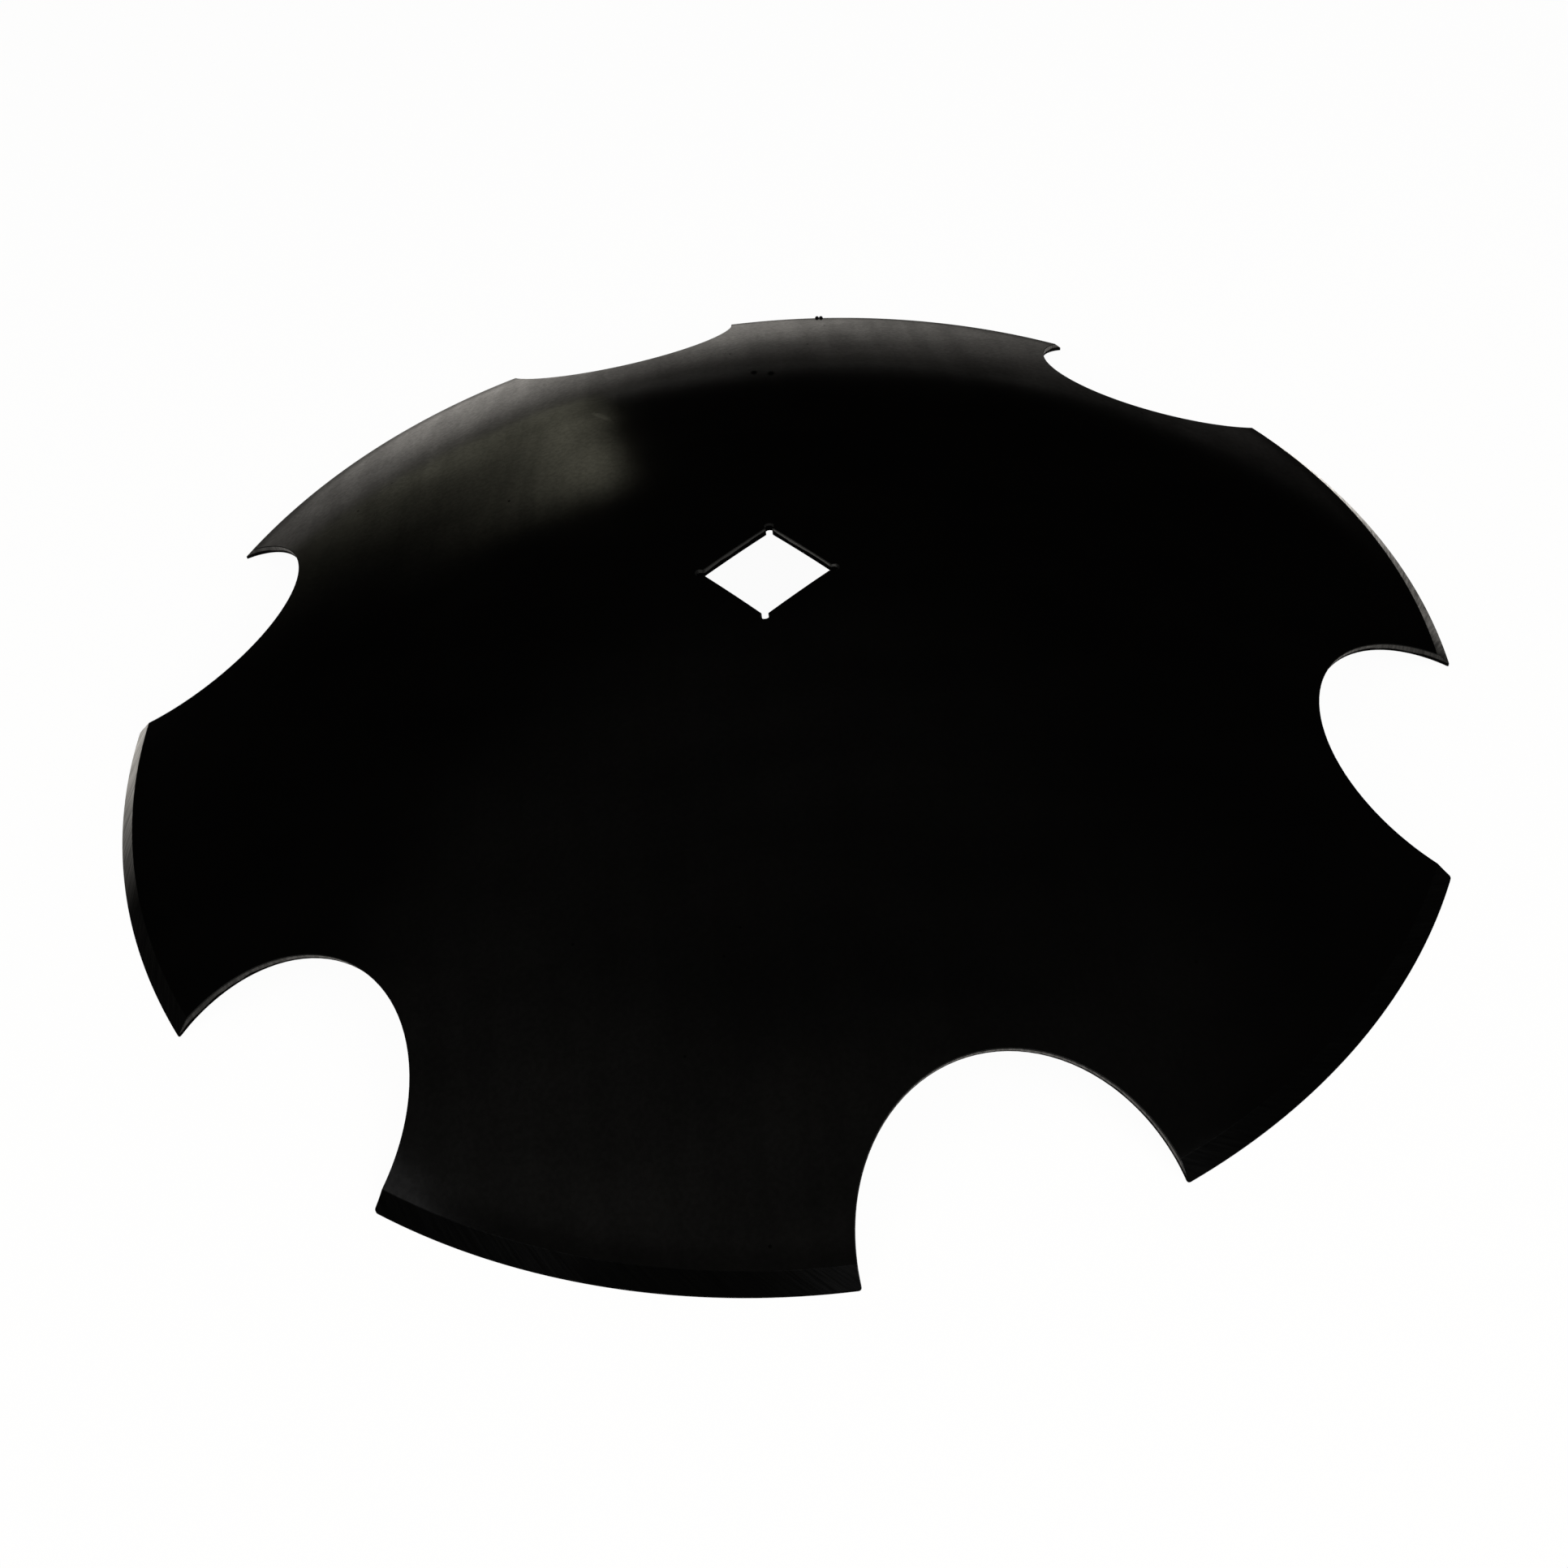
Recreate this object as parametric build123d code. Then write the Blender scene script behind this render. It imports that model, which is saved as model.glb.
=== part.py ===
from build123d import *
import math
import os

# Notched harrow disc blade: one plate, dished to a part of a sphere and resting hollow side down.
# Lengths are millimetres and angles are degrees. +Z is up, along the axle's line, and the origin
# is the middle of the plane that the rim rests on. X and Y are square to the axle hole's sides.

# Driving sizes
blade_diameter = 457.2        # across the rim, 18 inches
dish_depth = 58.0             # from the rim's plane up to the crown of the hollow side
plate_thickness = 3.0         # square to the surface, everywhere inside the bevel
bevel_width = 7.0             # ground band along the rim, on the outer side only
edge_land = 1.0               # blunt height that the grinding leaves at the rim
notch_count = 6
notch_width = 96.0            # across a notch at the rim
notch_depth = 56.0            # from the rim to a notch's bottom
notch_turn = 4.0              # first notch's middle, from +X
axle_hole_side = 31.0         # square hole for a square axle
corner_relief_radius = 1.5    # round relief in each corner of the axle hole
cut_overrun = 5.0             # how far a cutting form passes the plate on either side

# The dish: both faces are parts of spheres about one centre on the axis, below the blade
rim_radius = blade_diameter / 2
inner_sphere = (rim_radius**2 + dish_depth**2) / (2 * dish_depth)
outer_sphere = inner_sphere + plate_thickness
sphere_centre_z = dish_depth - inner_sphere
rim_angle = math.degrees(math.asin(rim_radius / inner_sphere))
bevel_angle = rim_angle - math.degrees(bevel_width / inner_sphere)


def dish_point(radius, angle):
    """Point of a section through the axis, at an angle down from the crown."""
    across = radius * math.sin(math.radians(angle))
    up = sphere_centre_z + radius * math.cos(math.radians(angle))
    return Vector(across, 0, up)


def dish():
    """Dished plate with its bevelled rim, turned from half of its section."""
    inner_crown = dish_point(inner_sphere, 0)
    inner_middle = dish_point(inner_sphere, rim_angle / 2)
    inner_edge = Vector(rim_radius, 0, 0)
    land_top = inner_edge + Vector(0, 0, edge_land)
    bevel_start = dish_point(outer_sphere, bevel_angle)
    outer_middle = dish_point(outer_sphere, bevel_angle / 2)
    outer_crown = dish_point(outer_sphere, 0)

    section = ThreePointArc(inner_crown, inner_middle, inner_edge)
    section += Polyline(inner_edge, land_top, bevel_start)
    section += ThreePointArc(bevel_start, outer_middle, outer_crown)
    section += Line(outer_crown, inner_crown)
    return revolve(make_face(section), Axis.Z)


def notch_cutter():
    """Elliptical cone from the dish's centre out through the rim, so that it cuts the plate squarely."""
    centre = Vector(0, 0, sphere_centre_z)
    spoke = dish_point(inner_sphere, rim_angle) - centre
    square_to_spoke = Plane(origin=centre, x_dir=Vector(0, 1, 0), z_dir=spoke)
    sections = []
    for reach in (inner_sphere - cut_overrun, outer_sphere + cut_overrun):
        spread = reach / inner_sphere
        sections.append(square_to_spoke.offset(reach) * Ellipse(notch_width / 2 * spread, notch_depth * spread))
    return loft(sections, ruled=True)


def axle_hole_cutter():
    """Square punch with a round relief at each corner, upright through the crown."""
    punch = Rectangle(axle_hole_side, axle_hole_side)
    for corner in GridLocations(axle_hole_side, axle_hole_side, 2, 2):
        punch += corner * Circle(corner_relief_radius)
    height = dish_depth + plate_thickness + cut_overrun
    return extrude(punch, height)


def disc_blade():
    blade = dish() - axle_hole_cutter()
    notch = notch_cutter()
    for spot in PolarLocations(0, notch_count, start_angle=notch_turn):
        blade -= spot * notch
    return blade


os.makedirs("parts", exist_ok=True)
blade = disc_blade()
blade.label = "disc_blade"
export_step(blade, "parts/disc_blade.step")
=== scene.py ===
import math

import bpy
import bmesh
import numpy as np
from mathutils import Matrix, Vector

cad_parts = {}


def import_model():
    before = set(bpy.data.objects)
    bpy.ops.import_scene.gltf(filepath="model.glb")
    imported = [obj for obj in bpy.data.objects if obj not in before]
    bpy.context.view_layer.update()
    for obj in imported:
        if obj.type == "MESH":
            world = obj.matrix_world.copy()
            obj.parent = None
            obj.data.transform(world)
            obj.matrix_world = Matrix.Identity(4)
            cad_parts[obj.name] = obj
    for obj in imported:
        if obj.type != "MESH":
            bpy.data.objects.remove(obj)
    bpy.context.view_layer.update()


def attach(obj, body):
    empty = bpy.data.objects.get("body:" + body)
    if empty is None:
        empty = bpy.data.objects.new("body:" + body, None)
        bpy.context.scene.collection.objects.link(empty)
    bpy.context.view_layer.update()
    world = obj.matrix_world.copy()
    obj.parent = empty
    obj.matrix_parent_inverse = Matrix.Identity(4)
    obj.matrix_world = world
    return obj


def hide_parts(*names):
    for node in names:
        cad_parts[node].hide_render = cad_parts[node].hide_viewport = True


# Looks of a notched harrow disc blade: a dished plate in satin black paint, hollow side down.
# The blade's own sizes are in millimetres, and arcs on the dish run from its crown, also in
# millimetres, along the hollow side. Everything in Blender is in metres, +Z up.

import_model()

MM = 0.001

# The plate's sizes, which are those of its solid
RIM_RADIUS = 228.6
DISH_DEPTH = 58.0
THICKNESS = 3.0
BEVEL_WIDTH = 7.0
EDGE_LAND = 1.0
NOTCH_COUNT = 6
NOTCH_WIDTH = 96.0
NOTCH_DEPTH = 56.0
NOTCH_TURN = math.radians(4.0)
HOLE_SIDE = 31.0
RELIEF_RADIUS = 1.5

# Fine forms that the punching and grinding leave
EDGE_ROUND = 0.3          # radius of a punched edge
RIM_ROUND = 0.1           # radius of a ground edge
BEVEL_BEND = 0.3          # width of the bend where the bevel starts
CORNER_SETBACK = 1.2      # how far a lobe's corner is rounded, along the rim and along the notch

# How finely the mesh divides each stretch
NOTCH_STEPS = 14          # half of a notch's bottom
SIDE_STEPS = 12           # a notch's side, up to the bevel
BEVEL_STEPS = 3           # a notch's side, across the bevel
CORNER_STEPS = 6          # round a lobe's corner
RIM_STEPS = 18            # half of a lobe's rim
RING_STEPS = 40           # from the axle hole out to the notches
ROUND_STEPS = 3           # round a punched edge
RELIEF_STEPS = 18         # round a corner relief of the axle hole
RING_CROWDING = 1.25      # how much closer the rings lie near the axle hole
SIDE_START = math.radians(40.0)    # where on a notch's ellipse its side begins
HALVINGS = 50             # of a search for a place on that ellipse
JOINED_WITHIN = 0.002     # points closer than this are made one

# The dish, worked out from the plate's sizes
INNER = (RIM_RADIUS**2 + DISH_DEPTH**2) / (2 * DISH_DEPTH)
OUTER = INNER + THICKNESS
CENTRE = np.array([0.0, 0.0, DISH_DEPTH - INNER])
RIM_ARC = INNER * math.asin(RIM_RADIUS / INNER)
LAND_ARC = INNER * math.atan2(RIM_RADIUS, EDGE_LAND - CENTRE[2])
BEVEL_ARC = RIM_ARC - BEVEL_WIDTH
SECTOR = 2 * math.pi / NOTCH_COUNT


def unit(vectors):
    return vectors / np.linalg.norm(vectors, axis=-1, keepdims=True)


def direction(flat):
    """Unit vectors from the dish's centre to places given flat, as arcs from the crown."""
    angle = np.linalg.norm(flat, axis=-1) / INNER
    across = flat / INNER * np.sinc(angle / np.pi)[..., None]
    return np.concatenate([across, np.cos(angle)[..., None]], axis=-1)


def flattened(points):
    """The reverse of direction(), for points in space."""
    away = points - CENTRE
    reach = np.hypot(away[..., 0], away[..., 1])
    arc = INNER * np.arctan2(reach, away[..., 2])
    return away[..., :2] * (arc / reach)[..., None]


def polar(arc, turn):
    return np.stack([arc * np.cos(turn), arc * np.sin(turn)], axis=-1)


def bevel_line():
    """Outward normal of the bevel in the half plane of radius and height, and its distance."""
    land_top = np.array([RIM_RADIUS, EDGE_LAND - CENTRE[2]])
    start = OUTER * np.array([math.sin(BEVEL_ARC / INNER), math.cos(BEVEL_ARC / INNER)])
    along = unit(land_top - start)
    normal = np.array([-along[1], along[0]])
    return normal, normal @ land_top


BEVEL_NORMAL, BEVEL_DISTANCE = bevel_line()


def upper_side(flat):
    """Points of the plate's upper side and their normals: the dome, and the bevel near the rim."""
    ray = direction(flat)
    reach = np.hypot(ray[..., 0], ray[..., 1])
    slope = BEVEL_NORMAL[0] * reach + BEVEL_NORMAL[1] * ray[..., 2]
    distance = np.minimum(OUTER, BEVEL_DISTANCE / slope)
    on_bevel = np.linalg.norm(flat, axis=-1) > BEVEL_ARC
    turn = np.arctan2(ray[..., 1], ray[..., 0])
    tilted = np.stack([BEVEL_NORMAL[0] * np.cos(turn), BEVEL_NORMAL[0] * np.sin(turn),
                       np.full_like(turn, BEVEL_NORMAL[1])], axis=-1)
    normals = np.where(on_bevel[..., None], tilted, ray)
    return CENTRE + ray * distance[..., None], normals


def lower_side(flat):
    """Points of the hollow side and their normals."""
    ray = direction(flat)
    return CENTRE + ray * INNER, -ray


def notch_edge(turn):
    """Flat places on a notch's ellipse, which lies across a spoke from the dish's centre to the rim."""
    tilt = RIM_ARC / INNER
    spoke = np.array([math.sin(tilt), 0.0, math.cos(tilt)]) * INNER
    inward = np.array([-math.cos(tilt), 0.0, math.sin(tilt)])
    sideways = np.array([0.0, 1.0, 0.0])
    across = NOTCH_WIDTH / 2 * np.cos(turn)
    deep = NOTCH_DEPTH * np.sin(turn)
    ellipse = np.multiply.outer(across, sideways) + np.multiply.outer(deep, inward)
    return flattened(CENTRE + spoke + ellipse)


def turn_at(arc):
    """Where on its ellipse a notch's side is that far from the crown."""
    low = 0.0
    high = math.pi / 2
    for _ in range(HALVINGS):
        middle = (low + high) / 2
        if np.linalg.norm(notch_edge(middle)) > arc:
            low = middle
        else:
            high = middle
    return low


def half_outline(edge_arc):
    """Outline from a notch's bottom to the middle of the next lobe, for a rim at that arc."""
    tip = notch_edge(turn_at(edge_arc))
    tip_turn = math.atan2(tip[1], tip[0])
    bend_start = turn_at(BEVEL_ARC - BEVEL_BEND / 2)
    bend_end = turn_at(BEVEL_ARC + BEVEL_BEND / 2)
    corner_start = turn_at(edge_arc - CORNER_SETBACK)
    corner_end = tip_turn + CORNER_SETBACK / RIM_RADIUS

    bottom = notch_edge(np.linspace(math.pi / 2, SIDE_START, NOTCH_STEPS + 1)[:-1])
    side = notch_edge(np.linspace(SIDE_START, bend_start, SIDE_STEPS + 1))
    across_bevel = notch_edge(np.linspace(bend_end, corner_start, BEVEL_STEPS + 1)[:-1])
    before = notch_edge(corner_start)
    after = polar(edge_arc, corner_end)
    share = np.linspace(0, 1, CORNER_STEPS + 1)[:, None]
    corner = (1 - share) ** 2 * before + 2 * share * (1 - share) * tip + share**2 * after
    rim = polar(edge_arc, np.linspace(corner_end, SECTOR / 2, RIM_STEPS + 1)[1:])
    return np.concatenate([bottom, side, across_bevel, corner, rim])


def turned(flat, angle):
    spin = np.array([[math.cos(angle), -math.sin(angle)], [math.sin(angle), math.cos(angle)]])
    return flat @ spin.T


def outline(edge_arc):
    """The whole outline, counterclockwise from the first notch's bottom."""
    half = half_outline(edge_arc)
    mirrored = turned(half[-2:0:-1] * [1, -1], SECTOR)
    sector = np.concatenate([half, mirrored])
    return np.concatenate([turned(sector, NOTCH_TURN + k * SECTOR) for k in range(NOTCH_COUNT)])


# Where the stretches of a sector's outline start, counted in points from the notch's bottom
SIDE_AT = NOTCH_STEPS
BEND_AT = SIDE_AT + SIDE_STEPS
CORNER_AT = BEND_AT + 1 + BEVEL_STEPS + CORNER_STEPS // 2
LOBE_MIDDLE = BEND_AT + 1 + BEVEL_STEPS + CORNER_STEPS + RIM_STEPS
SECTOR_POINTS = 2 * LOBE_MIDDLE


def hole_outline(count):
    """The axle hole in plan, counterclockwise from +X, in that many points, with its corner reliefs."""
    half = HOLE_SIDE / 2
    relief = np.radians(np.linspace(-90, 180, RELIEF_STEPS + 1))
    loop = []
    for quarter in range(4):
        corner = half + RELIEF_RADIUS * np.stack([np.cos(relief), np.sin(relief)], axis=-1)
        corner = np.concatenate([[[half, 0.0]], corner])
        loop.append(turned(corner, quarter * math.pi / 2))
    loop = np.concatenate(loop + [[[half, 0.0]]])
    length = np.concatenate([[0], np.cumsum(np.linalg.norm(np.diff(loop, axis=0), axis=1))])
    spread = np.linspace(0, length[-1], count, endpoint=False)
    return np.stack([np.interp(spread, length, axis) for axis in loop.T], axis=-1)


def upright(plan, sphere):
    """Points of a sphere of the dish straight above places in plan."""
    height = np.sqrt(sphere**2 - (plan**2).sum(axis=-1))
    return np.concatenate([plan, (CENTRE[2] + height)[..., None]], axis=-1)


def edge_rows(top, bottom, top_normals, bottom_normals, radius):
    """Rows from the upper side's edge, round both edges of the wall, to the hollow side's edge."""
    before = unit(top - np.roll(top, 1, axis=0))
    after = unit(np.roll(top, -1, axis=0) - top)
    wall = unit(np.cross(before + after, top - bottom))
    rows = []
    normals = []
    turns = np.linspace(0, 1, ROUND_STEPS + 1) * math.pi / 2
    for corner, face in ((top, top_normals), (bottom, bottom_normals)):
        fit = 1 + (face * wall).sum(axis=-1, keepdims=True)
        middle = corner - radius * (face + wall) / fit
        faces = [unit(face * math.cos(turn) + wall * math.sin(turn)) for turn in turns]
        if corner is bottom:
            faces.reverse()
        rows += [middle + radius * normal for normal in faces]
        normals += faces
    return np.array(rows), np.array(normals)


class Sheet:
    """Collects grids of points as one mesh, with a normal for each point and a material for each face."""

    def __init__(self):
        self.points = []
        self.normals = []
        self.faces = []
        self.materials = []
        self.count = 0

    def add(self, points, normals, material, closed=False):
        """Adds a grid. Material is a number, or a list with one for each row of faces."""
        rows, columns = points.shape[:2]
        index = self.count + np.arange(rows * columns).reshape(rows, columns)
        if closed:
            index = np.concatenate([index, index[:, :1]], axis=1)
        quads = np.stack([index[:-1, :-1], index[:-1, 1:], index[1:, 1:], index[1:, :-1]], axis=-1)
        kinds = np.broadcast_to(np.reshape(material, (-1, 1)), quads.shape[:2])
        self.points.append(points.reshape(-1, 3))
        self.normals.append(normals.reshape(-1, 3))
        self.faces.append(quads.reshape(-1, 4))
        self.materials.append(kinds.ravel())
        self.count += rows * columns


def spaced(points):
    """Share of a line's length at each of its points."""
    steps = np.linalg.norm(np.diff(points, axis=0), axis=1)
    length = np.concatenate([[0], np.cumsum(steps)])
    return length / length[-1]


def patch(bottom, top, left, right):
    """Grid of flat places between four sides that share their corners."""
    across = spaced(top)[None, :, None]
    up = spaced(left)[:, None, None]
    sides = (1 - across) * left[:, None] + across * right[:, None]
    ends = (1 - up) * bottom[None] + up * top[None]
    corners = (1 - across) * ((1 - up) * bottom[0] + up * top[0])
    corners = corners + across * ((1 - up) * bottom[-1] + up * top[-1])
    return sides + ends - corners


def arc_between(start, end, shares):
    """Flat places on an arc about the crown, at those shares of the way."""
    begin = math.atan2(start[1], start[0])
    sweep = (math.atan2(end[1], end[0]) - begin) % (2 * math.pi)
    return polar(np.linalg.norm(start), begin + sweep * shares)


def lobe_grid(loop, lobe):
    """One lobe's flat grid, from the arc between its notches' sides out to the rim."""
    points = np.roll(loop, -lobe * SECTOR_POINTS, axis=0)
    left = points[SIDE_AT:CORNER_AT + 1]
    right = points[SECTOR_POINTS - CORNER_AT:SECTOR_POINTS - SIDE_AT + 1][::-1]
    rim = points[CORNER_AT:SECTOR_POINTS - CORNER_AT + 1]
    shares = spaced(rim)
    bend = SIDE_STEPS
    root = arc_between(left[0], right[0], shares)
    below = arc_between(left[bend], right[bend], shares)
    above = arc_between(left[bend + 1], right[bend + 1], shares)
    core = patch(root, below, left[:bend + 1], right[:bend + 1])
    band = patch(above, rim, left[bend + 1:], right[bend + 1:])
    return np.concatenate([core, band])


def ring_grid(hole, loop):
    """Flat grid from the axle hole out to the notches' bottoms and the lobes' roots."""
    outer = []
    for lobe in range(NOTCH_COUNT):
        points = np.roll(loop, -lobe * SECTOR_POINTS, axis=0)
        rim = points[CORNER_AT:SECTOR_POINTS - CORNER_AT + 1]
        root = arc_between(points[SIDE_AT], points[SECTOR_POINTS - SIDE_AT], spaced(rim))
        outer += [points[:SIDE_AT], root, points[SECTOR_POINTS - SIDE_AT + 1:SECTOR_POINTS]]
    outer = np.concatenate(outer)
    out = (np.linspace(0, 1, RING_STEPS + 1) ** RING_CROWDING)[:, None, None]
    return (1 - out) * hole[None] + out * outer[None]


def ring_points():
    """How many points the ring's grid has all the way round."""
    return NOTCH_COUNT * (2 * SIDE_AT + SECTOR_POINTS - 2 * CORNER_AT)


BEAD_TURN = math.radians(42.3)     # where two beads of paint stand side by side, near the rim
BEAD_SPACING = 1.7
BEAD_SETBACK = 0.7                 # from the start of the bevel
BEAD_SIZE = (1.7, 1.4, 1.8)        # along the rim, across it and out of the plate
BEAD_STEPS = (8, 16)


def bead(step):
    """One bead of paint half sunk in the dome, close to the start of the bevel."""
    turn = BEAD_TURN + step * BEAD_SPACING / RIM_RADIUS
    place, normal = upper_side(polar(BEVEL_ARC - BEAD_SETBACK, np.array(turn)))
    sideways = np.array([-math.sin(turn), math.cos(turn), 0.0])
    outward = np.cross(sideways, normal)
    rows = np.linspace(0, math.pi, BEAD_STEPS[0] + 1)[:, None, None]
    columns = np.linspace(0, 2 * math.pi, BEAD_STEPS[1], endpoint=False)[None, :, None]
    axes = (sideways, outward, normal)
    shares = (np.sin(rows) * np.cos(columns), np.sin(rows) * np.sin(columns), np.cos(rows) + 0 * columns)
    points = place + sum(share * size / 2 * axis for share, size, axis in zip(shares, BEAD_SIZE, axes))
    normals = unit(sum(share / size * axis for share, size, axis in zip(shares, BEAD_SIZE, axes)))
    return points, normals


# Places of the materials in the mesh
PAINT = 0
BEVEL = 1
PUNCHED = 2


def blade_sheet():
    """The whole blade: both sides, the walls of its outline and of its axle hole, and two beads of paint."""
    sheet = Sheet()
    top_loop = outline(LAND_ARC)
    bottom_loop = outline(RIM_ARC)
    top, top_normals = upper_side(top_loop)
    bottom, bottom_normals = lower_side(bottom_loop)
    arcs = np.linalg.norm(bottom_loop, axis=1)
    radius = np.interp(arcs, [BEVEL_ARC, RIM_ARC], [EDGE_ROUND, RIM_ROUND])[:, None]
    wall, wall_normals = edge_rows(top, bottom, top_normals, bottom_normals, radius)
    sheet.add(wall, wall_normals, PUNCHED, closed=True)

    plan = hole_outline(ring_points())
    start = np.argmin(np.abs(np.arctan2(plan[:, 1], plan[:, 0]) - NOTCH_TURN))
    plan = np.roll(plan, -start, axis=0)
    high = upright(plan, OUTER)[::-1]
    low = upright(plan, INNER)[::-1]
    hole, hole_normals = edge_rows(high, low, unit(high - CENTRE), unit(CENTRE - low), EDGE_ROUND)
    hole = hole[:, ::-1]
    hole_normals = hole_normals[:, ::-1]
    sheet.add(hole, hole_normals, PUNCHED, closed=True)

    for row, side in ((0, upper_side), (-1, lower_side)):
        loop = flattened(wall[row])
        points, normals = side(ring_grid(flattened(hole[row]), loop))
        sheet.add(points, normals, PAINT, closed=True)
        for lobe in range(NOTCH_COUNT):
            grid = lobe_grid(loop, lobe)
            points, normals = side(grid)
            kinds = np.full(len(grid) - 1, PAINT)
            if side is upper_side:
                kinds[SIDE_STEPS:] = BEVEL
            sheet.add(points, normals, kinds)
    for step in (-0.5, 0.5):
        points, normals = bead(step)
        sheet.add(points, normals, PAINT, closed=True)
    return sheet


def blade_object(materials):
    """Makes the mesh, joins its grids where they meet and gives each corner its true normal."""
    sheet = blade_sheet()
    mesh = bpy.data.meshes.new("blade")
    points = np.concatenate(sheet.points) * MM
    mesh.from_pydata(points.tolist(), [], np.concatenate(sheet.faces).tolist())
    mesh.polygons.foreach_set("material_index", np.concatenate(sheet.materials).astype(np.int32))
    kept = mesh.attributes.new("true_normal", "FLOAT_VECTOR", "POINT")
    kept.data.foreach_set("vector", np.concatenate(sheet.normals).astype(np.float32).ravel())

    work = bmesh.new()
    work.from_mesh(mesh)
    bmesh.ops.remove_doubles(work, verts=work.verts, dist=JOINED_WITHIN * MM)
    bmesh.ops.recalc_face_normals(work, faces=work.faces)
    loose = [edge for edge in work.edges if len(edge.link_faces) != 2]
    print("blade mesh:", len(work.verts), "points,", len(work.faces), "faces,", len(loose), "open edges")
    work.to_mesh(mesh)
    work.free()

    mesh.shade_smooth()
    normals = np.zeros(len(mesh.vertices) * 3, np.float32)
    mesh.attributes["true_normal"].data.foreach_get("vector", normals)
    mesh.normals_split_custom_set_from_vertices(normals.reshape(-1, 3).tolist())
    mesh.attributes.remove(mesh.attributes["true_normal"])
    for material in materials:
        mesh.materials.append(material)
    blade = bpy.data.objects.new("blade", mesh)
    bpy.context.scene.collection.objects.link(blade)
    return blade


# From here on, a ramp is given as its start and end, and its values there. Its turns about the axis
# are in degrees from +X, and its arcs and heights are in millimetres, as are the sizes of textures.
SPECK_CORE = 0.4                   # share of a speck's radius where it is full
MARK_FADE = (1.3, 0.3, 0.0, 1.0)   # a mark's strength, by distance in half sizes


class Look:
    """A material as it is built: its nodes, and short ways to make and join them."""

    def __init__(self, name):
        self.material = bpy.data.materials.new(name)
        self.material.use_nodes = True
        self.nodes = self.material.node_tree.nodes
        self.links = self.material.node_tree.links
        self.shader = self.nodes["Principled BSDF"]

    def node(self, kind, **settings):
        made = self.nodes.new(kind)
        for name, value in settings.items():
            setattr(made, name, value)
        return made

    def feed(self, value, socket):
        """Joins a socket to another one, or gives it a plain value."""
        if isinstance(value, bpy.types.NodeSocket):
            self.links.new(value, socket)
        else:
            socket.default_value = value

    def math(self, operation, first, second=0.0):
        made = self.node("ShaderNodeMath", operation=operation)
        self.feed(first, made.inputs[0])
        self.feed(second, made.inputs[1])
        return made.outputs[0]

    def product(self, first, *others):
        for other in others:
            first = self.math("MULTIPLY", first, other)
        return first

    def ease(self, value, start, end, before, after):
        """A smooth step from one value to another while the input goes from start to end."""
        made = self.node("ShaderNodeMapRange", interpolation_type="SMOOTHSTEP")
        for slot, given in enumerate((value, start, end, before, after)):
            self.feed(given, made.inputs[slot])
        return made.outputs[0]

    def place(self):
        return self.node("ShaderNodeTexCoord").outputs["Object"]

    def scaled(self, place, turn, sizes):
        """Coordinates turned about Z, and counted in steps of those sizes."""
        made = self.node("ShaderNodeMapping")
        self.links.new(place, made.inputs["Vector"])
        made.inputs["Rotation"].default_value = (0, 0, -turn)
        sized = self.node("ShaderNodeVectorMath", operation="DIVIDE")
        self.links.new(made.outputs[0], sized.inputs[0])
        sized.inputs[1].default_value = [size * MM for size in sizes]
        return sized.outputs[0]

    def noise(self, place, detail=2.0):
        """Soft noise from 0 to 1, with one swell to each step of its coordinates."""
        made = self.node("ShaderNodeTexNoise")
        self.links.new(place, made.inputs["Vector"])
        made.inputs["Scale"].default_value = 1.0
        made.inputs["Detail"].default_value = detail
        return made.outputs["Fac"]

    def specks(self, place, spacing, radius, share):
        """1 inside scattered round specks, where that share of a grid's cells holds one."""
        cells = self.node("ShaderNodeTexVoronoi")
        self.links.new(place, cells.inputs["Vector"])
        cells.inputs["Scale"].default_value = 1 / (spacing * MM)
        chance = self.node("ShaderNodeSeparateColor")
        self.links.new(cells.outputs["Color"], chance.inputs[0])
        chosen = self.math("LESS_THAN", chance.outputs[0], share)
        edge = radius / spacing
        near = self.ease(cells.outputs["Distance"], edge, SPECK_CORE * edge, 0.0, 1.0)
        return self.math("MULTIPLY", chosen, near)

    def mark(self, place, middle, turn, size):
        """1 in the middle of a soft oval mark, fading to 0 at its outline, given in plan."""
        across, along = middle
        offset = self.node("ShaderNodeVectorMath", operation="SUBTRACT")
        self.links.new(place, offset.inputs[0])
        offset.inputs[1].default_value = (across * MM, along * MM, 0)
        flat = self.node("ShaderNodeVectorMath", operation="MULTIPLY")
        self.links.new(offset.outputs[0], flat.inputs[0])
        flat.inputs[1].default_value = (1, 1, 0)
        counted = self.scaled(flat.outputs[0], turn, (size[0] / 2, size[1] / 2, 1))
        length = self.node("ShaderNodeVectorMath", operation="LENGTH")
        self.links.new(counted, length.inputs[0])
        return self.ease(length.outputs["Value"], *MARK_FADE)

    def mix(self, share, first, second):
        made = self.node("ShaderNodeMix", data_type="RGBA")
        self.feed(share, made.inputs["Factor"])
        self.feed(first, made.inputs["A"])
        self.feed(second, made.inputs["B"])
        return made.outputs["Result"]

    def bump(self, height, depth):
        """Bends the normals of the paint and of its top coat by a height from 0 to 1, that deep."""
        made = self.node("ShaderNodeBump")
        made.inputs["Distance"].default_value = depth * MM
        self.links.new(height, made.inputs["Height"])
        self.links.new(made.outputs[0], self.shader.inputs["Normal"])
        self.links.new(made.outputs[0], self.shader.inputs["Coat Normal"])

    def parts(self, place):
        made = self.node("ShaderNodeSeparateXYZ")
        self.links.new(place, made.inputs[0])
        return made.outputs

    def turn(self, place):
        """Angle about the axis from +X, in degrees."""
        parts = self.parts(place)
        return self.math("DEGREES", self.math("ARCTAN2", parts["Y"], parts["X"]))

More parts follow.
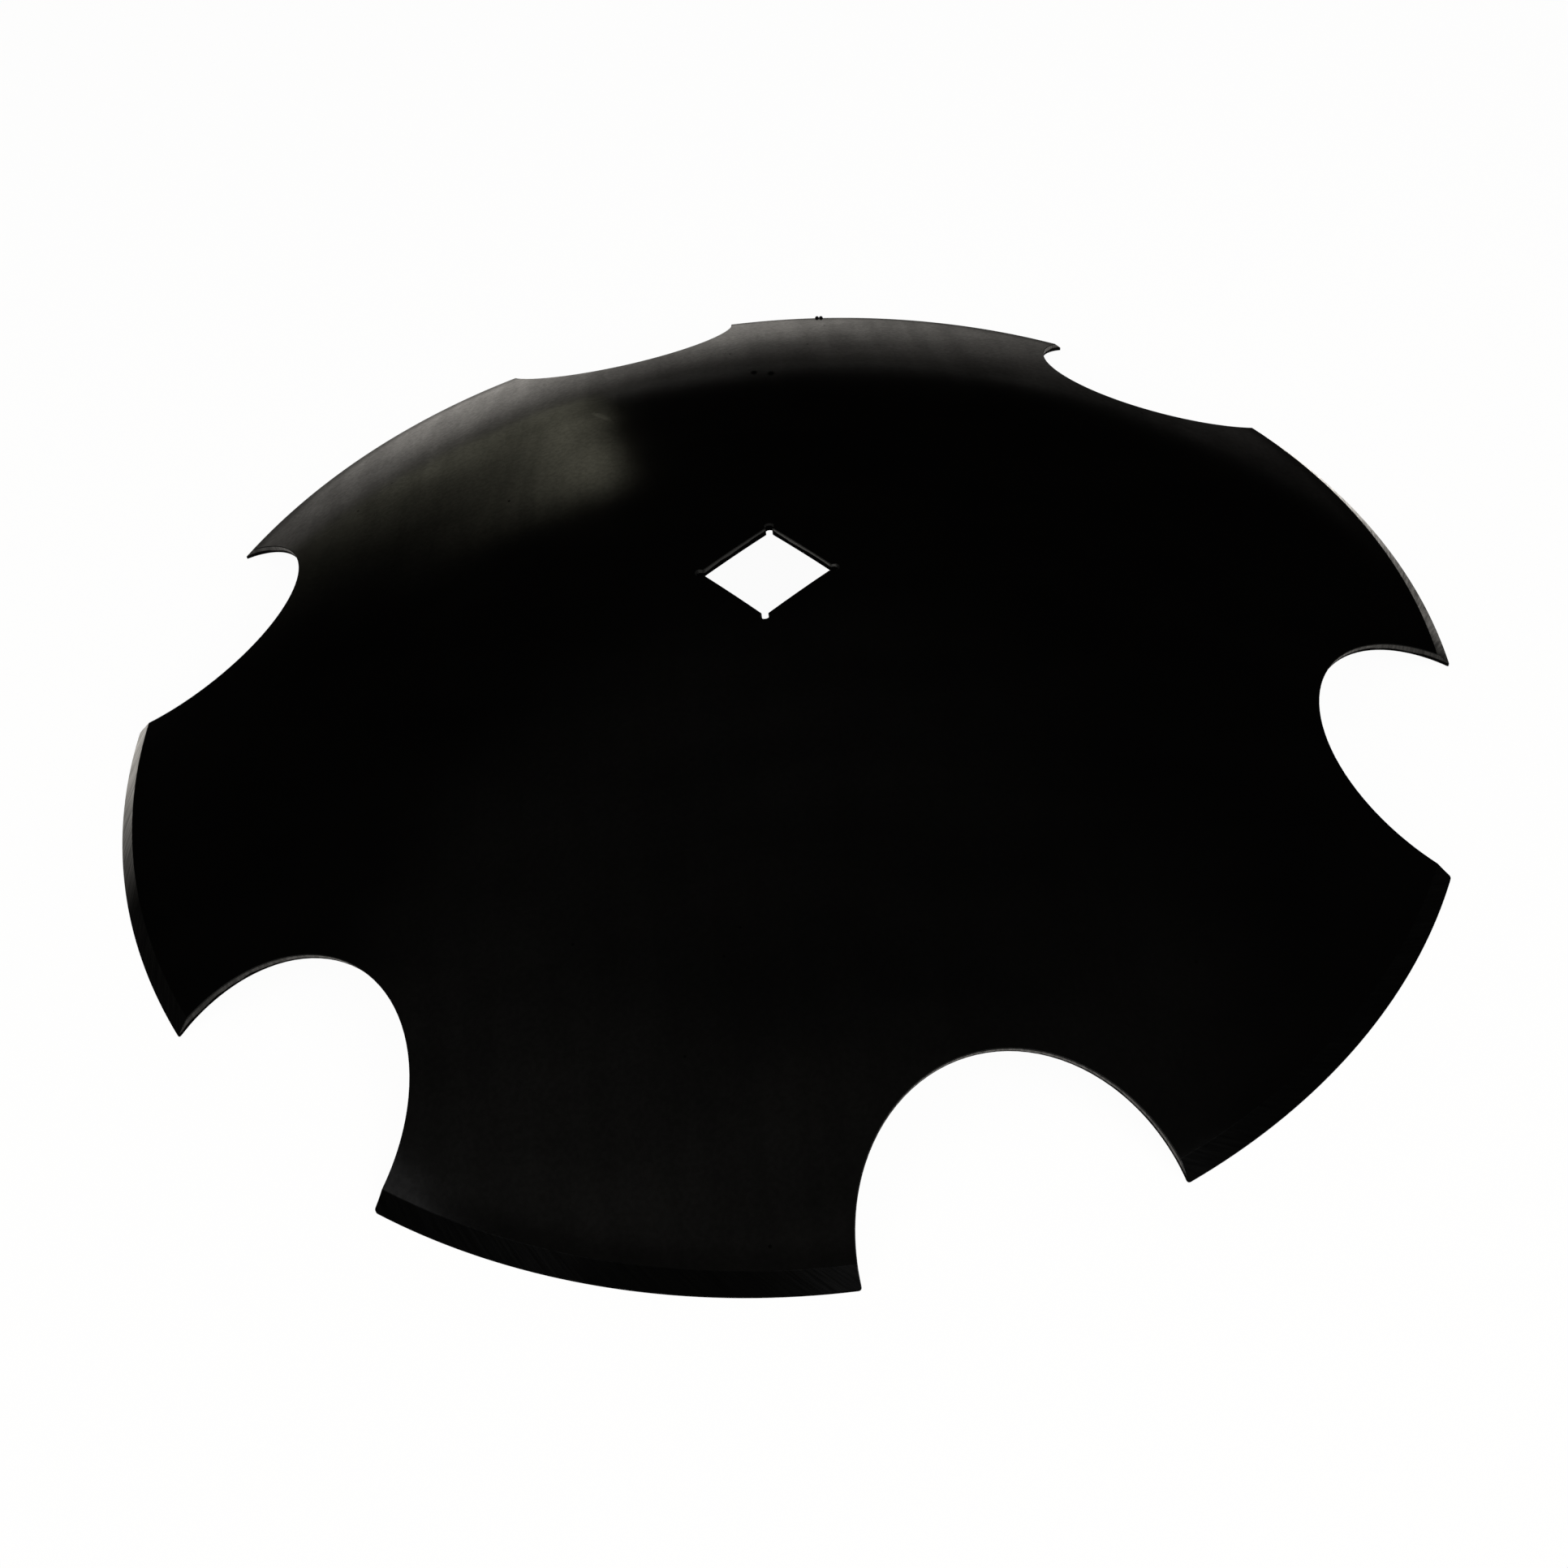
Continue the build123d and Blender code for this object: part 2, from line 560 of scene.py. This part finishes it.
    def arc(self, place):
        """Arc along the hollow side from the crown, in millimetres."""
        parts = self.parts(place)
        squares = self.math("ADD", self.math("POWER", parts["X"], 2.0), self.math("POWER", parts["Y"], 2.0))
        across = self.math("SQRT", squares)
        angle = self.math("ARCSINE", self.math("DIVIDE", across, self.from_centre(place)))
        return self.math("MULTIPLY", angle, INNER)

    def from_centre(self, place):
        """Distance from the dish's centre, in metres."""
        away = self.node("ShaderNodeVectorMath", operation="SUBTRACT")
        self.links.new(place, away.inputs[0])
        away.inputs[1].default_value = [axis * MM for axis in CENTRE]
        length = self.node("ShaderNodeVectorMath", operation="LENGTH")
        self.links.new(away.outputs[0], length.inputs[0])
        return length.outputs["Value"]

    def depth(self, place):
        """Height through the plate from its hollow side, in millimetres."""
        return self.math("SUBTRACT", self.math("DIVIDE", self.from_centre(place), MM), INNER)


def black_coat(name, roughness, ior):
    """A black that mirrors nothing by itself, under a clear top coat that gives it its sheen."""
    look = Look(name)
    look.shader.inputs["Specular IOR Level"].default_value = 0.0
    look.shader.inputs["Coat Roughness"].default_value = roughness
    look.shader.inputs["Coat IOR"].default_value = ior
    return look


# Paint, whose sheen is the strength of its clear top coat
PAINT_ROUGHNESS = 0.12
PAINT_IOR = 1.16
PAINT_BLACKS = ((0.0005, 0.0005, 0.0005, 1), (0.0012, 0.0011, 0.001, 1))    # deeper than a real paint's
PAINT_MATT = (0.2, 0.8, 0.45, 0.6)             # roughness of the black, by grain
SHINE_TURN = math.radians(141.0)               # which way over the blade the sheen rises
SHINE_ACROSS = (-RIM_RADIUS, RIM_RADIUS, 0.04, 1.0)    # uneven so that it follows the photograph
SHINE_SPENT = (95.0, 200.0, 1.0, 0.35)         # sheen that is lost again close to the far side
THIN_EDGE = (BEVEL_ARC - 9.0, BEVEL_ARC - 1.5, 1.0, 0.55)
FULL_RIM = (RIM_ARC - 100.0, RIM_ARC - 25.0, 0.5, 1.5)
STREAK_SIZE = (60, 28, 28)
STREAK_SHEEN = (0.3, 0.7, 0.87, 1.13)
RUN_SIZE = (8, 70, 70)
RUN_SHEEN = (0.3, 0.7, 0.9, 1.1)
GRAIN_SIZE = (1.6, 1.6, 1.6)
GRAIN_SHEEN = (0.25, 0.75, 0.85, 1.15)
PEEL_SIZE = (3.0, 3.0, 3.0)
PEEL_DEPTH = 0.005
PITS = {"spacing": 9, "radius": 0.7, "share": 0.12}
DUST = {"spacing": 26, "radius": 0.6, "share": 0.1}
DUST_COLOUR = (0.03, 0.03, 0.028, 1)
SCUFF_PLACE = (31.2, 125.8)                    # a rubbed streak, in plan
SCUFF_TURN = math.radians(84.0)
SCUFF_SIZE = (15.0, 3.0)
SCUFF_SHEEN = (0.0, 1.0, 1.0, 1.5)
DULL_SPOTS = ((89.3, 104.7), (92.5, 98.5))     # two spots that the sheen leaves out, in plan
DULL_SIZE = (3.0, 5.5)
DULL_SHEEN = (0.0, 1.0, 1.0, 0.1)


def paint_sheen(look, place, streaks, grain):
    """How strongly the paint shines at each place, chosen so that the sheen follows the photograph."""
    along = look.parts(look.scaled(place, SHINE_TURN, (1, 1, 1)))["X"]
    arc = look.arc(place)
    sheen = look.ease(along, *SHINE_ACROSS)
    for spot in DULL_SPOTS:
        dull = look.mark(place, spot, SHINE_TURN, DULL_SIZE)
        sheen = look.product(sheen, look.ease(dull, *DULL_SHEEN))
    changes = (
        look.ease(streaks, *STREAK_SHEEN),
        look.ease(grain, *GRAIN_SHEEN),
        look.ease(arc, *THIN_EDGE),
        look.ease(arc, *FULL_RIM),
        look.ease(along, *SHINE_SPENT),
        look.math("SUBTRACT", 1.0, look.specks(place, **PITS)),
        look.ease(look.mark(place, SCUFF_PLACE, SCUFF_TURN, SCUFF_SIZE), *SCUFF_SHEEN),
        look.ease(look.noise(look.scaled(place, SHINE_TURN, RUN_SIZE)), *RUN_SHEEN),
    )
    return look.product(sheen, *changes)


def paint_material():
    """Satin black paint, with faint streaks, runs, grain and specks in its sheen."""
    look = black_coat("satin_black_paint", PAINT_ROUGHNESS, PAINT_IOR)
    place = look.place()
    streaks = look.noise(look.scaled(place, SHINE_TURN, STREAK_SIZE), detail=3.0)
    grain = look.noise(look.scaled(place, 0, GRAIN_SIZE))
    look.feed(paint_sheen(look, place, streaks, grain), look.shader.inputs["Coat Weight"])

    black = look.mix(streaks, *PAINT_BLACKS)
    colour = look.mix(look.specks(place, **DUST), black, DUST_COLOUR)
    look.feed(colour, look.shader.inputs["Base Color"])
    look.feed(look.ease(grain, *PAINT_MATT), look.shader.inputs["Roughness"])
    look.bump(look.noise(look.scaled(place, 0, PEEL_SIZE), detail=3.0), PEEL_DEPTH)
    return look.material


# Bevel, painted over its grinding strokes and rubbed shiny on two lobes
BEVEL_ROUGHNESS = 0.2
BEVEL_IOR = 2.4
BEVEL_BLACKS = ((0.0004, 0.0004, 0.0004, 1), (0.0015, 0.0015, 0.0014, 1))
BEVEL_SHEEN = (-45.0, -39.5, 0.005, 0.36)      # from the near lobes round to the right one and on
RIGHT_RUBBED = (-34.0, -10.0, 0.0, 2.5)        # sheen added on the right lobe, past a real coat's 1
RIGHT_END = (0.0, 8.0, 1.0, 0.0)
LEFT_LOBE = (126.0, 184.0)                     # where the left lobe's own sheen holds
LEFT_SHEEN = (134.0, 158.5, 1.5, 0.01)
STROKE_TURN = math.radians(38.0)
STROKE_SIZE = (14, 0.9, 1)
STROKE_SHEEN = (0.3, 0.7, 0.55, 1.3)
STROKE_MATT = (0.2, 0.8, 0.5, 0.35)
STROKE_DEPTH = 0.012


def bevel_sheen(look, turn):
    """How strongly the bevel shines at each turn about the axis, before its strokes."""
    rubbed = look.product(look.ease(turn, *RIGHT_RUBBED), look.ease(turn, *RIGHT_END))
    sheen = look.math("ADD", look.ease(turn, *BEVEL_SHEEN), rubbed)
    start, end = LEFT_LOBE
    on_left = look.product(look.math("GREATER_THAN", turn, start), look.math("LESS_THAN", turn, end))
    change = look.math("SUBTRACT", look.ease(turn, *LEFT_SHEEN), sheen)
    return look.math("ADD", look.product(on_left, change), sheen)


def grinding_strokes(look, turn, arc):
    """Fine strokes that run aslant over the bevel, which is laid out as a flat strip for them."""
    strip = look.node("ShaderNodeCombineXYZ")
    look.feed(look.product(turn, math.radians(1.0) * RIM_RADIUS * MM), strip.inputs[0])
    look.feed(look.product(arc, MM), strip.inputs[1])
    return look.noise(look.scaled(strip.outputs[0], STROKE_TURN, STROKE_SIZE), detail=3.0)


def bevel_material():
    """Thin paint over the grinding strokes of the bevel."""
    look = black_coat("painted_bevel", BEVEL_ROUGHNESS, BEVEL_IOR)
    place = look.place()
    turn = look.turn(place)
    strokes = grinding_strokes(look, turn, look.arc(place))
    sheen = look.product(bevel_sheen(look, turn), look.ease(strokes, *STROKE_SHEEN))
    look.feed(sheen, look.shader.inputs["Coat Weight"])
    look.feed(look.mix(strokes, *BEVEL_BLACKS), look.shader.inputs["Base Color"])
    look.feed(look.ease(strokes, *STROKE_MATT), look.shader.inputs["Roughness"])
    look.bump(strokes, STROKE_DEPTH)
    return look.material


# Punched walls of the notches and the axle hole
PUNCHED_ROUGHNESS = 0.25
PUNCHED_IOR = 1.5
AT_HOLE = (30.0, 60.0, 1.0, 0.0)               # 1 at the axle hole and 0 at the notches, by arc
WAVER_SIZE = (9, 9, 9)
TORN_HEIGHT = (0.3, 0.7, 0.9, 1.5)             # up from the hollow side, by the waver
TORN_MORE = 0.7                                # higher at the axle hole
TORN_END = (-0.15, 0.2, 0.0, 1.0)              # where burnished metal takes over
ROLLED_EDGE = (2.65, 2.9, 1.0, 0.1)            # the upper edge, which shines less
SCORE_SIZE = (0.9, 0.9, 14)
SCORE_SHEEN = (0.3, 0.7, 0.35, 0.8)
SCORE_DEPTH = 0.03
TORN_SCORES = 1.4                              # how much stronger scores are in torn metal
LEAST_SHEEN = 0.02
SIDE_TURN = 45.0                               # half the turn that one side of the axle hole takes
RELIEF_START = 40.0                            # where a side gives way to its corner relief
RELIEF_END = 42.5
RELIEF_LOSS = 0.9                              # share of the sheen and of the painted highlight that a relief lacks
HIGHLIGHT_SIDES = (38.0, 52.0, 0.4, 0.14)           # painted highlight: how strongly it shows on the hole's walls, by turn from the X axis
TORN_BLACK = (0.001, 0.001, 0.001, 1)
BURNISHED_BLACK = (0.005, 0.005, 0.0048, 1)
# painted highlight: a light grey that stands in for the light that the hole's walls catch
HIGHLIGHT_GREY = (0.22, 0.215, 0.2, 1)
PUNCHED_MATT = (0.0, 1.0, 0.7, 0.4)            # roughness of torn and of burnished metal


def punched_material():
    """Walls with a band that the punch burnished, over torn metal, and a painted highlight in light grey on
    the axle hole's walls.
    """
    look = black_coat("painted_punched_edge", PUNCHED_ROUGHNESS, PUNCHED_IOR)
    place = look.place()
    turn = look.turn(place)
    height = look.depth(place)
    at_hole = look.ease(look.arc(place), *AT_HOLE)
    torn = look.ease(look.noise(look.scaled(place, 0, WAVER_SIZE)), *TORN_HEIGHT)
    torn = look.math("ADD", torn, look.product(at_hole, TORN_MORE))
    burnished = look.ease(look.math("SUBTRACT", height, torn), *TORN_END)
    rolled = look.ease(height, *ROLLED_EDGE)
    in_relief = look.ease(look.math("PINGPONG", turn, SIDE_TURN), RELIEF_START, RELIEF_END, 0.0, at_hole)
    kept = look.math("SUBTRACT", 1.0, look.product(in_relief, RELIEF_LOSS))

    scores = look.noise(look.scaled(place, 0, SCORE_SIZE), detail=3.0)
    sheen = look.product(burnished, rolled, look.ease(scores, *SCORE_SHEEN), kept)
    look.feed(look.math("ADD", sheen, LEAST_SHEEN), look.shader.inputs["Coat Weight"])
    # Painted highlight in light grey on the axle hole's walls, below the rolled edge, stronger on the side
    # towards +X
    painted_highlight = look.product(at_hole, rolled, look.ease(look.math("ABSOLUTE", turn), *HIGHLIGHT_SIDES), kept)
    metal = look.mix(painted_highlight, BURNISHED_BLACK, HIGHLIGHT_GREY)
    look.feed(look.mix(burnished, TORN_BLACK, metal), look.shader.inputs["Base Color"])
    look.feed(look.ease(burnished, *PUNCHED_MATT), look.shader.inputs["Roughness"])
    look.bump(look.product(scores, look.math("SUBTRACT", TORN_SCORES, burnished)), SCORE_DEPTH)
    return look.material


# The stage
FLOOR_HALF = 12.0
FLOOR_COLOUR = (0.92, 0.88, 0.83, 1)
FLOOR_GLOW = 0.96         # share of the floor's white that no shadow takes away from the camera
MIRROR_GLOW = 0.05        # the same for reflections, which see the floor mostly as the lamps light it


def floor_material():
    """Pale floor that the camera sees as white, with the blade's shadow left on it."""
    look = Look("pale_floor")
    look.nodes.clear()
    path = look.node("ShaderNodeLightPath")
    mirrored = look.math("ADD", path.outputs["Is Glossy Ray"], path.outputs["Is Transmission Ray"])
    share = look.math("ADD", look.math("MULTIPLY", path.outputs["Is Camera Ray"], FLOOR_GLOW),
                      look.math("MULTIPLY", mirrored, MIRROR_GLOW))
    matt = look.node("ShaderNodeBsdfDiffuse")
    matt.inputs["Color"].default_value = FLOOR_COLOUR
    glow = look.node("ShaderNodeEmission")
    mix = look.node("ShaderNodeMixShader")
    look.links.new(share, mix.inputs["Fac"])
    look.links.new(matt.outputs[0], mix.inputs[1])
    look.links.new(glow.outputs[0], mix.inputs[2])
    output = look.node("ShaderNodeOutputMaterial")
    look.links.new(mix.outputs[0], output.inputs["Surface"])
    return look.material


def stage_sheet(name, corners, material):
    """A flat sheet that isn't part of the blade, from its corners in order."""
    mesh = bpy.data.meshes.new(name)
    mesh.from_pydata([tuple(corner) for corner in corners], [], [(0, 1, 2, 3)])
    places = mesh.uv_layers.new(name="sheet")
    for corner, place in enumerate(((0, 0), (1, 0), (1, 1), (0, 1))):
        places.data[corner].uv = place
    mesh.materials.append(material)
    sheet = bpy.data.objects.new(name, mesh)
    bpy.context.scene.collection.objects.link(sheet)
    return sheet


def floor():
    half = FLOOR_HALF
    corners = [(-half, -half, 0), (half, -half, 0), (half, half, 0), (-half, half, 0)]
    stage_sheet("floor", corners, floor_material())


SKY_TINT = (1.0, 0.97, 0.9)
SKY = ((0.0, 0.75), (2.4, 0.17), (4.8, 0.008), (40.0, 0.02), (65.0, 0.5))    # degrees up, and level


def world():
    """Surroundings that light the blade from the horizon and overhead, white to the camera alone."""
    surroundings = bpy.data.worlds.new("studio")
    surroundings.use_nodes = True
    bpy.context.scene.world = surroundings
    nodes = surroundings.node_tree.nodes
    links = surroundings.node_tree.links
    place = nodes.new("ShaderNodeTexCoord")
    split = nodes.new("ShaderNodeSeparateXYZ")
    links.new(place.outputs["Generated"], split.inputs[0])
    ramp = nodes.new("ShaderNodeValToRGB")
    links.new(split.outputs["Z"], ramp.inputs["Fac"])
    ramp.color_ramp.interpolation = "EASE"
    elements = ramp.color_ramp.elements
    while len(elements) < len(SKY):
        elements.new(0.5)
    for element, (up, level) in zip(elements, SKY):
        element.position = math.sin(math.radians(up))
        element.color = [tint * level for tint in SKY_TINT] + [1]
    path = nodes.new("ShaderNodeLightPath")
    seen = nodes.new("ShaderNodeMix")
    seen.data_type = "RGBA"
    links.new(path.outputs["Is Camera Ray"], seen.inputs["Factor"])
    links.new(ramp.outputs["Color"], seen.inputs["A"])
    seen.inputs["B"].default_value = (1, 1, 1, 1)
    background = nodes["Background"]
    links.new(seen.outputs["Result"], background.inputs["Color"])
    background.inputs["Strength"].default_value = 1.0


HEADING = math.radians(51.27)      # the way the camera looks, from +X


def away_from_blade(side, up):
    """Unit vector at an angle right of the camera's heading, and above the floor."""
    turn = HEADING - math.radians(side)
    rise = math.radians(up)
    return Vector((math.cos(turn) * math.cos(rise), math.sin(turn) * math.cos(rise), math.sin(rise)))


def softbox(name, side, up, distance, width, height, radiance):
    """Area lamp aimed at the blade."""
    away = away_from_blade(side, up)
    lamp = bpy.data.lights.new(name, "AREA")
    lamp.shape = "RECTANGLE"
    lamp.size = width
    lamp.size_y = height
    lamp.energy = radiance * math.pi * width * height
    box = bpy.data.objects.new(name, lamp)
    box.location = away * distance
    box.rotation_euler = away.to_track_quat("Z", "Y").to_euler()
    box.visible_camera = False
    bpy.context.scene.collection.objects.link(box)


# Far panel. Its sides are in degrees right of the heading, and its heights in shares of its own.
PANEL_DISTANCE = 8.0
PANEL_EDGE = -7.9
PANEL_END = -38.3
PANEL_TOP = 26.0                       # degrees above the floor
PANEL_COLOUR = (1.0, 0.97, 0.74, 1)
PANEL_RISE = 4.0                       # degrees over which its light comes up from the right edge
PANEL_FADE = 4.2                       # degrees over which it then falls to a third
FOOT_WIDER = (0.2, 0.42, 0.9, 0.0)     # degrees that it is wider at its foot
FOOT_DIM = (0.1, 0.6, 0.38, 1.0)
TOP_DIM = (0.62, 0.98, 4.3, 0.0)       # radiance, which fades out at the top
SKIRT_FADE = 8.0                       # degrees over which the low glow falls to a third
SKIRT_START = (5.5, 12.5, 0.0, 2.2)    # its radiance, left of the bright part
SKIRT_TOP = (0.08, 0.65, 1.0, 0.0)


def panel_material():
    """Light that is strongest near the panel's right edge, with a low glow left of it."""
    look = Look("soft_panel")
    look.nodes.clear()
    parts = look.parts(look.node("ShaderNodeTexCoord").outputs["UV"])
    height = parts["Y"]
    left = look.product(parts["X"], PANEL_EDGE - PANEL_END)
    rise = look.ease(look.math("ADD", left, look.ease(height, *FOOT_WIDER)), 0.0, PANEL_RISE, 0.0, 1.0)
    past = look.math("MAXIMUM", look.math("SUBTRACT", left, PANEL_RISE), 0.0)
    fade = look.math("EXPONENT", look.math("DIVIDE", past, -PANEL_FADE))
    bright = look.product(rise, fade, look.ease(height, *FOOT_DIM), look.ease(height, *TOP_DIM))
    spread = look.math("EXPONENT", look.math("DIVIDE", left, -SKIRT_FADE))
    skirt = look.product(spread, look.ease(left, *SKIRT_START), look.ease(height, *SKIRT_TOP))
    glow = look.node("ShaderNodeEmission")
    glow.inputs["Color"].default_value = PANEL_COLOUR
    look.links.new(look.math("ADD", bright, skirt), glow.inputs["Strength"])
    output = look.node("ShaderNodeOutputMaterial")
    look.links.new(glow.outputs[0], output.inputs["Surface"])
    return look.material


def panel():
    """Tall soft panel far beyond the blade, left of the way the camera looks."""
    near = away_from_blade(PANEL_EDGE, 0) * PANEL_DISTANCE
    far = away_from_blade(PANEL_END, 0) * PANEL_DISTANCE
    rise = Vector((0, 0, PANEL_DISTANCE * math.tan(math.radians(PANEL_TOP))))
    sheet = stage_sheet("soft_panel", [near, far, far + rise, near + rise], panel_material())
    sheet.visible_camera = False


def lamps():
    softbox("key", side=155, up=38, distance=2.2, width=2.2, height=1.3, radiance=5.0)
    softbox("fill", side=-125, up=34, distance=2.2, width=1.4, height=1.0, radiance=3.5)
    panel()


# Camera, in metres and millimetres of lens
VIEWPOINT = Vector((-0.30911, -0.38141, 0.48198))
FORWARD = Vector((0.42779, 0.53336, -0.72974))
ROLL = math.radians(-6.60)
LENS = 45.275
SENSOR = 36
NEAREST = 0.01
FARTHEST = 60


def camera():
    """The photograph's viewpoint, from a fit of the blade's outline."""
    forward = FORWARD.normalized()
    level = forward.cross(Vector((0, 0, 1))).normalized()
    lift = level.cross(forward)
    right = level * math.cos(ROLL) + lift * math.sin(ROLL)
    up = right.cross(forward)
    data = bpy.data.cameras.new("camera")
    data.lens = LENS
    data.sensor_width = SENSOR
    data.clip_start = NEAREST
    data.clip_end = FARTHEST
    view = bpy.data.objects.new("camera", data)
    turn = Matrix((right, up, -forward)).transposed()
    view.matrix_world = Matrix.Translation(VIEWPOINT) @ turn.to_4x4()
    bpy.context.scene.collection.objects.link(view)
    bpy.context.scene.camera = view


def blade():
    piece = blade_object([paint_material(), bevel_material(), punched_material()])
    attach(piece, "root")
    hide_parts("disc_blade")


camera()
blade()
floor()
world()
lamps()
bpy.context.scene.view_settings.view_transform = "Standard"
